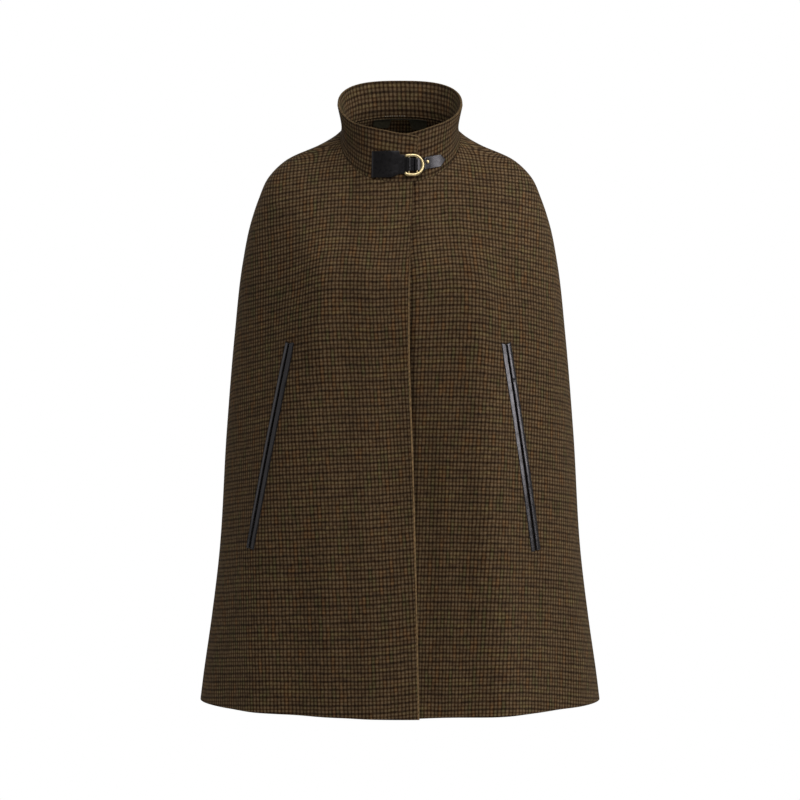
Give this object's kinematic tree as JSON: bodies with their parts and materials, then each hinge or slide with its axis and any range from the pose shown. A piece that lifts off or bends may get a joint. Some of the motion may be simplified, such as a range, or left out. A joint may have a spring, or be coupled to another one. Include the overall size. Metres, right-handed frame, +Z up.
{
  "type": "cape",
  "caption": "Hip-length check wool cape, hollow as worn, with a stand collar, an overlapped front, leather-bound arm slits and a leather strap closed through a D-shaped ring.",
  "frame": {"origin": "where the cape rests on the wearer: middle of the neck, level with the sides of the neck seam at the shoulders", "axes": "+Z up, -Y out of the front, +X towards the wearer's left"},
  "size_m": [0.5484, 0.3806, 0.862],
  "materials": {
    "wool": "matt woven wool, small brown and tan check",
    "leather": "black, smooth, glossy",
    "brass": "polished",
    "label": "dark olive satin, bare"
  },
  "bodies": {
    "root": {"right_front": "wool", "left_front": "wool", "back": "wool", "collar": "wool", "slit_right_inner": "leather", "slit_right_outer": "leather", "slit_left_inner": "leather", "slit_left_outer": "leather", "strap_base": "leather", "strap_tail": "leather", "d_ring": "brass", "stud": "brass", "neck_label": "label"}
  },
  "joints": []
}
